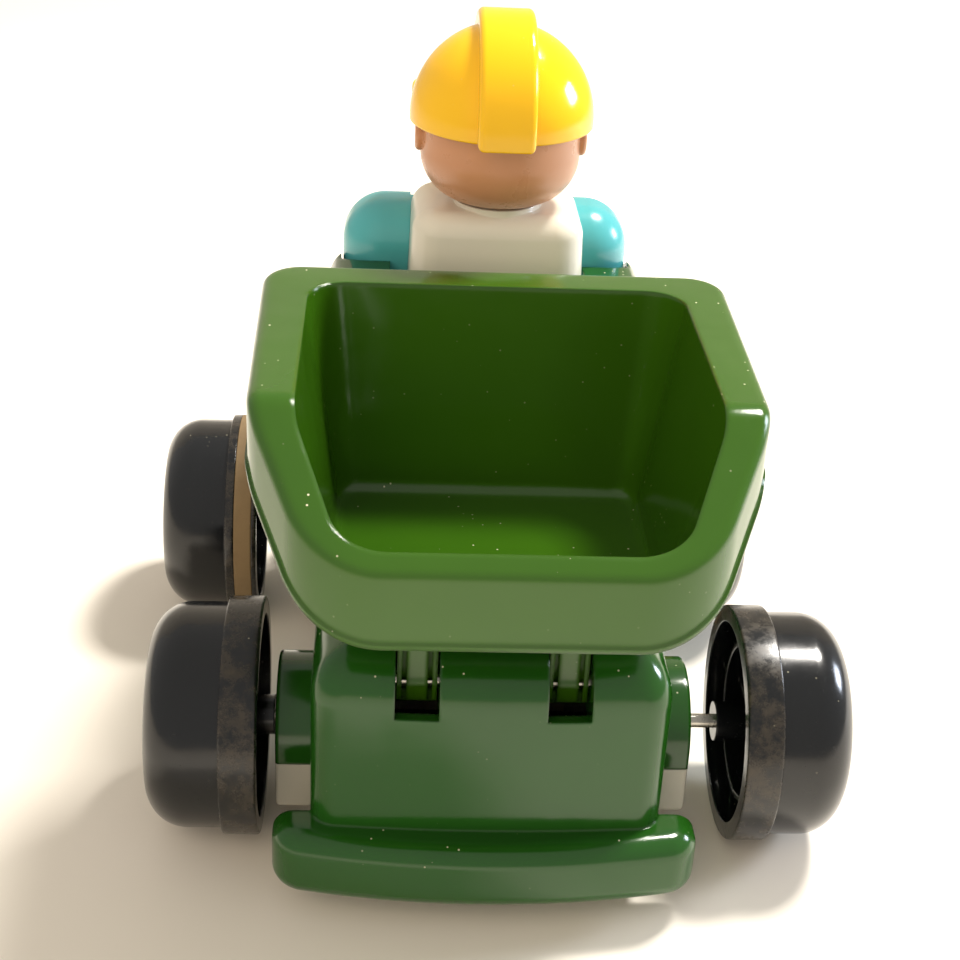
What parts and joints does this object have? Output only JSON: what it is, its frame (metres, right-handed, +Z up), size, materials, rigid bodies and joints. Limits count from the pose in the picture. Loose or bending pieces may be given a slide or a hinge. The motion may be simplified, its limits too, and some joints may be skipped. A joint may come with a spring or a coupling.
{
  "type": "toy dump truck",
  "caption": "Push-along toy dump truck with a tipping bed, domed wheels on steel axles and a hard-hatted driver who is pressed down to drive it.",
  "frame": {"origin": "on the ground under the middle of the toy's overall box", "axes": "+Y the way it drives, +X its right side, +Z up"},
  "size_m": [0.1522, 0.1768, 0.1612],
  "materials": {
    "shell_green": "glossy moulded ABS, deep green",
    "bed_green": "glossy moulded ABS, lighter green",
    "base_grey": "satin moulded ABS, light grey",
    "screw_steel": "zinc-plated steel",
    "axle_steel": "bright drawn steel rod",
    "spring_steel": "spring steel wire",
    "wheel_black": "glossy black moulded plastic",
    "band_rubber": "cream rubber band",
    "gear_natural": "unpigmented acetal",
    "torso_white": "glossy off-white plastic",
    "sleeve_teal": "glossy teal plastic",
    "skin": "warm brown soft-gloss plastic",
    "helmet_yellow": "glossy yellow plastic"
  },
  "bodies": {
    "chassis": {"chassis_shell": "shell_green", "base_plate": "base_grey", "base_screws": "screw_steel", "frame_screws": "screw_steel", "cab_screws": "screw_steel", "cab": "shell_green", "hinge_pin": "axle_steel", "drive_shaft": "axle_steel", "idler_shaft": "axle_steel", "gear_frame": "base_grey"},
    "bed": {"dump_bed": "bed_green"},
    "rear_wheels": {"rear_axle": "axle_steel", "rear_wheel_left": "wheel_black", "rear_wheel_right": "wheel_black"},
    "front_wheels": {"front_axle": "axle_steel", "front_wheel_left": "wheel_black", "front_wheel_right": "wheel_black", "traction_band_left": "band_rubber", "traction_band_right": "band_rubber", "axle_gear": "gear_natural"},
    "idler": {"idler_gear": "gear_natural"},
    "drive": {"drive_gear": "gear_natural"},
    "pinion": {"rack_pinion": "gear_natural", "clutch_spring": "spring_steel"},
    "driver": {"push_rack": "gear_natural", "return_spring": "spring_steel", "driver_torso": "torso_white", "driver_arm_left": "sleeve_teal", "driver_arm_right": "sleeve_teal", "driver_hand_left": "skin", "driver_hand_right": "skin", "steering_wheel": "wheel_black", "driver_head": "skin", "driver_helmet": "helmet_yellow"}
  },
  "joints": [
    {"name": "bed_tilt", "type": "hinge", "parent": "chassis", "child": "bed", "pos_m": [0, -0.0535, 0.05], "axis": [1, 0, 0], "range_deg": [0, 45]},
    {"name": "rear_axle_spin", "type": "hinge", "parent": "chassis", "child": "rear_wheels", "pos_m": [0, -0.0315, 0.025], "axis": [1, 0, 0], "continuous": true},
    {"name": "front_axle_spin", "type": "hinge", "parent": "chassis", "child": "front_wheels", "pos_m": [0, 0.0558, 0.025], "axis": [1, 0, 0], "continuous": true},
    {"name": "idler_spin", "type": "hinge", "parent": "chassis", "child": "idler", "pos_m": [0, 0.05205, 0.0364], "axis": [1, 0, 0], "continuous": true},
    {"name": "drive_gear_spin", "type": "hinge", "parent": "chassis", "child": "drive", "pos_m": [0, 0.03465, 0.041], "axis": [1, 0, 0], "continuous": true},
    {"name": "driver_press", "type": "slide", "parent": "chassis", "child": "driver", "axis": [0, 0, -1], "range_m": [0, 0.015], "stiffness_N_per_m": 400, "springref_m": -0.01, "deforming": ["return_spring"]},
    {"name": "pinion_spin", "type": "hinge", "parent": "chassis", "child": "pinion", "pos_m": [0, 0.03465, 0.041], "axis": [1, 0, 0], "range_deg": [0, 150]}
  ],
  "couplings": [
    {"joint": "idler_spin", "follows": "front_axle_spin", "ratio": -1},
    {"joint": "drive_gear_spin", "follows": "front_axle_spin", "ratio": 0.5},
    {"joint": "pinion_spin", "follows": "driver_press", "rad_per_m": 166.67}
  ]
}
